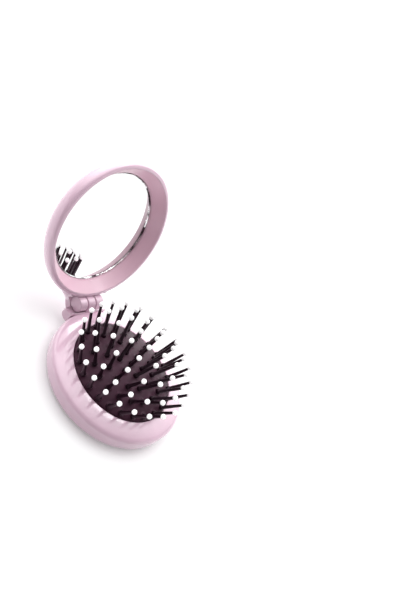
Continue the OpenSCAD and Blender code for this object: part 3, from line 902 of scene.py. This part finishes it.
class HAIRBRUSH_OT_lid(bpy.types.Operator):
    """Lid with its tab and the two outer knuckles"""

    bl_idname = "hairbrush.lid"
    bl_label = "Lid"

    def execute(self, context):
        rings, lid, hinge = sizes(context, "rings", "lid", "hinge")
        at = lid_levels(rings, lid)
        clear_r = hinge.barrel_r + hinge.barrel_gap
        end = OPEN_ANGLE - hinge.tab_angle + hinge.stop_gap
        root = math.radians(172)
        section = np.full(len(ROUND), hinge.barrel_r)
        section[(ROUND > end + 0.05) & (ROUND < root - math.radians(1))] = clear_r + hinge.web_lap
        inner_x = hinge.knuckle_w / 2 + hinge.knuckle_gap
        outer_x = inner_x + hinge.knuckle_w
        bore = (hinge.pin_r + 0.02 * MM, 0.6 * MM)
        grids = [revolve(self.profile(lid, at), rings.segments),
                 self.tab(lid, hinge, at, clear_r, root, end),
                 knuckle(section, -outer_x, -inner_x, hinge.edge),
                 knuckle(section, inner_x, outer_x, hinge.edge, bore)]
        piece("lid_cover", [skin(swing_open(g)) for g in grids], "lid", [finished("shell")],
              ["lid_shell"])
        return {"FINISHED"}

    def profile(self, lid, at):
        """Profile of the shell from the middle of its roof, over two ribs, down inside, to rim and back."""
        a = np.radians(np.linspace(0, 90, 37))
        roof, tape, clear = at.back_z - lid.wall, 0.6 * MM, 0.2 * MM
        ledge, ledge_fall, rim_round, rise = 0.1 * MM, 1.1 * MM, 0.4 * MM, 0.02 * MM
        seat_z = at.glass_z + lid.mirror_t + tape
        rib_r = np.array([19, 19, 20, 20, 23, 23, 24]) * MM
        last = rib_r[-1]
        rim, under = np.array([at.rim_r, at.rim_z]), cap(lid, at, lid.wall, a[::-1])
        return np.vstack([
            [[0, roof]], np.stack([rib_r, np.resize([roof, seat_z, seat_z, roof], 7)], axis=-1),
            [[last, np.interp(last, under[:, 0], under[:, 1])]], under[under[:, 0] > last + clear],
            [[at.rim_r + ledge, at.rim_top_z - ledge_fall]],
            curve(rim + [0, clear], rim, rim + [rim_round, rise], 3),
            curve(rim, [at.side_r, at.rim_z], [at.side_r, at.rim_top_z], 14)[4:],
            cap(lid, at, 0, a)[1:]])

    def tab(self, lid, hinge, at, clear_r, root, end):
        """Tab from the lid's side round to its stop, narrowing from the lid to the barrel.

        Its outside is a level roof, ended inside the lid, that from one direction on eases into a round end.
        """
        bend_from, bend_over, nose_from, nose_over = np.radians([120, 28, 95, 35])
        root_y, roof_part, end_r, end_fall, least = 27 * MM, 0.75, 5.5 * MM, 0.2 * MM, 0.05
        a = np.linspace(root, end + hinge.edge / end_r, 42)
        nose, bent = ease((nose_from - a) / nose_over), ease((bend_from - a) / bend_over)
        roof = (at.rim_z + roof_part * lid.height - HINGE[2]) / np.maximum(least, np.sin(a))
        inside = np.minimum(roof, (HINGE[1] - root_y) / np.maximum(least, -np.cos(a)))
        start = roof[np.argmin(np.abs(a - bend_from))]
        outside = (1 - bent) * start + bent * (hinge.tab_reach - end_fall * nose)
        plate = tab_plate(a, clear_r, np.where(a < bend_from, outside, inside), hinge.tab_w / 2, hinge.edge)
        share = np.clip((plate[..., 1] - at.side_r) / (HINGE[1] + 1 * MM - at.side_r), 0, 1)
        plate[..., 0] *= 1 + (hinge.tab_end_w / hinge.tab_w - 1) * share
        rise = np.clip((plate[..., 2] - at.rim_top_z) / (at.back_z - at.rim_top_z), 0, 0.98)
        push_out(plate, at.side_r * (1 - rise**2) ** (1 / lid.square) - 0.6 * lid.wall)
        return plate


class HAIRBRUSH_OT_bezel(bpy.types.Operator):
    """Sloping dish that holds the glass"""

    bl_idname = "hairbrush.bezel"
    bl_label = "Bezel"

    def execute(self, context):
        rings, lid = sizes(context, "rings", "lid")
        at = lid_levels(rings, lid)
        edge, inset, rise, clear = 0.15 * MM, 0.03 * MM, 0.08 * MM, 0.1 * MM
        lip_part, lip_lap, lip_depth, step, flange = 0.12, 0.1 * MM, 0.6 * MM, 0.5 * MM, 0.9 * MM
        outer_r, rim = at.rim_r - inset, at.rim_z + rise
        lip_r, pocket_r = at.window_r + step, lid.mirror_r + clear
        slope = np.array([outer_r - lip_r, at.lip_z - rim])
        back = lid.wall * slope[0] / np.linalg.norm(slope)
        lip = np.array([lip_r, at.lip_z])
        profile = np.vstack([
            [[outer_r, rim + 2 * edge]],
            curve([outer_r, rim + edge], [outer_r, rim], [outer_r - edge, rim + 0.5 * edge], 3),
            curve(lip + lip_part * slope * [1, -1], lip, lip + [-lip_lap, lip_depth], 8),
            [[at.window_r, at.glass_z], [pocket_r, at.glass_z], [pocket_r, at.glass_z + step],
             [pocket_r + flange, at.glass_z + step], [pocket_r + flange, at.lip_z + back],
             [outer_r - 2 * edge, rim + back + 3 * edge]]])
        piece("mirror_dish", [skin(swing_open(revolve(profile, rings.segments)), along=True)], "lid",
              [finished("bezel")], ["mirror_bezel"])
        return {"FINISHED"}


class HAIRBRUSH_OT_mirror(bpy.types.Operator):
    """Silvered glass and its bright edging"""

    bl_idname = "hairbrush.mirror"
    bl_label = "Mirror"

    def execute(self, context):
        rings, lid = sizes(context, "rings", "lid")
        at = lid_levels(rings, lid)
        z, back, r, edge, chamfer = at.glass_z, at.glass_z + lid.mirror_t, lid.mirror_r, lid.bevel, 0.1 * MM
        glass = [[0, z], [0.5 * r, z], [r - edge, z], [r, z + edge], [r, back - chamfer], [r - chamfer, back],
                 [0, back]]
        piece("mirror_glass", [skin(swing_open(revolve(glass, rings.segments)))], "lid",
              [finished("mirror")], ["mirror"])
        gap, crown, rise, foot_w = 0.02 * MM, 0.12 * MM, 0.08 * MM, 0.28 * MM
        wall, low, high = at.window_r - gap, z - gap, z - lid.band_h
        band = [[wall, high], [wall - crown, high + rise], [wall - foot_w, low], [wall, low]]
        piece("mirror_edge", [skin(swing_open(revolve(band, rings.segments)), along=True)], "lid",
              [finished("edging")], level=False, sharp=math.radians(20))
        return {"FINISHED"}


class HAIRBRUSH_OT_hidden_parts(bpy.types.Operator):
    """Finishes of the steel hinge pin and the foam tape, whose shapes stay as they are"""

    bl_idname = "hairbrush.hidden_parts"
    bl_label = "Hinge Pin and Tape"

    def execute(self, context):
        for node, kind in (("hinge_pin", "steel"), ("mirror_tape", "foam")):
            mesh = frame["nodes"][node].data
            mesh.materials.clear()
            mesh.materials.append(finished(kind))
        return {"FINISHED"}


class HAIRBRUSH_OT_stage(bpy.types.Operator):
    """Floor, light tent, lamp and camera"""

    bl_idname = "hairbrush.stage"
    bl_label = "Stage"

    def execute(self, context):
        stage = context.scene.hairbrush_stage
        self.floor(context, stage)
        self.sky(context, stage)
        self.lamp(context, stage)
        self.camera(context, stage)
        context.scene.view_settings.view_transform = "Standard"
        return {"FINISHED"}

    def floor(self, context, stage):
        """Flat disc at the height on which the back ring rests."""
        z = CAD_BOX[0].z
        disc = revolve([[0, z], [0.1 * stage.floor_r, z], [stage.floor_r, z]], 96)
        mesh, _ = mesh_of("floor", [(disc.reshape(-1, 3), quads_of(disc.shape, (0,))[:, ::-1])])
        floor = bpy.data.objects.new("floor", mesh)
        context.scene.collection.objects.link(floor)
        colour = context.scene.hairbrush_finish.floor
        fixed = {"Specular IOR Level": 0.2, "Emission Color": (1, 1, 1, 1), "Emission Strength": stage.glow}
        mesh.materials.append(finish("hairbrush_floor", fixed, lambda wire: {
            "Base Color": wire.noise(30, 3).colours(colour, tone(colour, 0.99)),
            "Roughness": 0.6 + 0.1 * wire.noise(50, 2)}))

    def sky(self, context, stage):
        """White tent: bright above, behind and to the right, dim near by, white where the mirror looks."""
        world = bpy.data.worlds.new("tent")
        context.scene.world = world
        world.use_nodes = True
        tree = world.node_tree
        wire = Wire(tree)
        way = wire.node("ShaderNodeTexCoord", output="Generated")
        top = self.facing(wire, way, stage.top_way).between(0.2, 0.95)
        window = self.facing(wire, way, stage.window_way).between(0.8, 0.95)
        tent = stage.dim + (stage.top - stage.dim) * top
        level = tent + window * (stage.window - tent)
        shader = tree.nodes["Background"]
        shader.inputs["Color"].default_value = (1, 1, 1, 1)
        tree.links.new(level.socket, shader.inputs["Strength"])

    def facing(self, wire, way, towards):
        """Cosine of the angle between the tent's direction and another."""
        return wire.node("ShaderNodeVectorMath", {"operation": "DOT_PRODUCT"},
                         {0: way, 1: Vector(towards).normalized()}, output="Value")

    def lamp(self, context, stage):
        """Square soft light aimed at the middle of the brush."""
        light = bpy.data.lights.new("key", "AREA")
        light.size, light.energy = stage.key_size, stage.key
        made = bpy.data.objects.new("key", light)
        context.scene.collection.objects.link(made)
        made.location, brush_middle = stage.key_place, Vector((0, 0.01, 0.03))
        made.rotation_mode = "QUATERNION"
        made.rotation_quaternion = (brush_middle - made.location).to_track_quat("-Z", "Y")

    def camera(self, context, stage):
        """Camera whose axes are the look, the up direction and their cross product."""
        data = bpy.data.cameras.new("camera")
        data.lens, data.sensor_width = stage.lens, 36.0
        data.shift_x, data.shift_y = stage.shift
        data.clip_start, data.clip_end = 0.01, 20.0
        camera = bpy.data.objects.new("camera", data)
        context.scene.collection.objects.link(camera)
        look, up = Vector(stage.look).normalized(), Vector(stage.up)
        right = look.cross(up).normalized()
        up = right.cross(look)
        camera.matrix_world = Matrix.Translation(stage.eye) @ Matrix((right, up, -look)).transposed().to_4x4()
        context.scene.camera = camera


class HAIRBRUSH_PT_parts(bpy.types.Panel):
    """Buttons that build each piece, with the sizes and colours they use"""

    bl_label = "Hairbrush"
    bl_space_type = "VIEW_3D"
    bl_region_type = "UI"
    bl_category = "Hairbrush"

    def draw(self, context):
        for operator in OPERATORS:
            self.layout.operator(operator.bl_idname)
        for name, group in GROUPS.items():
            box = self.layout.box()
            box.label(text=name.replace("hairbrush_", "").title())
            for key in group.__annotations__:
                box.prop(getattr(context.scene, name), key)


GROUPS = {"hairbrush_" + group.__name__.rpartition("_")[2]: group for group in (
    HAIRBRUSH_PG_rings, HAIRBRUSH_PG_pad, HAIRBRUSH_PG_pins, HAIRBRUSH_PG_lid, HAIRBRUSH_PG_hinge,
    HAIRBRUSH_PG_finish, HAIRBRUSH_PG_stage)}
OPERATORS = (
    HAIRBRUSH_OT_front_ring, HAIRBRUSH_OT_back_ring, HAIRBRUSH_OT_pad, HAIRBRUSH_OT_pins, HAIRBRUSH_OT_lid,
    HAIRBRUSH_OT_bezel, HAIRBRUSH_OT_mirror, HAIRBRUSH_OT_hidden_parts, HAIRBRUSH_OT_stage)


def register():
    for cls in (*GROUPS.values(), *OPERATORS, HAIRBRUSH_PT_parts):
        bpy.utils.register_class(cls)
    for name, group in GROUPS.items():
        setattr(bpy.types.Scene, name, PointerProperty(type=group))


def unregister():
    for name in GROUPS:
        delattr(bpy.types.Scene, name)
    for cls in reversed((*GROUPS.values(), *OPERATORS, HAIRBRUSH_PT_parts)):
        bpy.utils.unregister_class(cls)


def main():
    """Builds everything in order."""
    register()
    for operator in OPERATORS:
        group, name = operator.bl_idname.split(".")
        getattr(getattr(bpy.ops, group), name)()


if __name__ == "__main__":
    main()
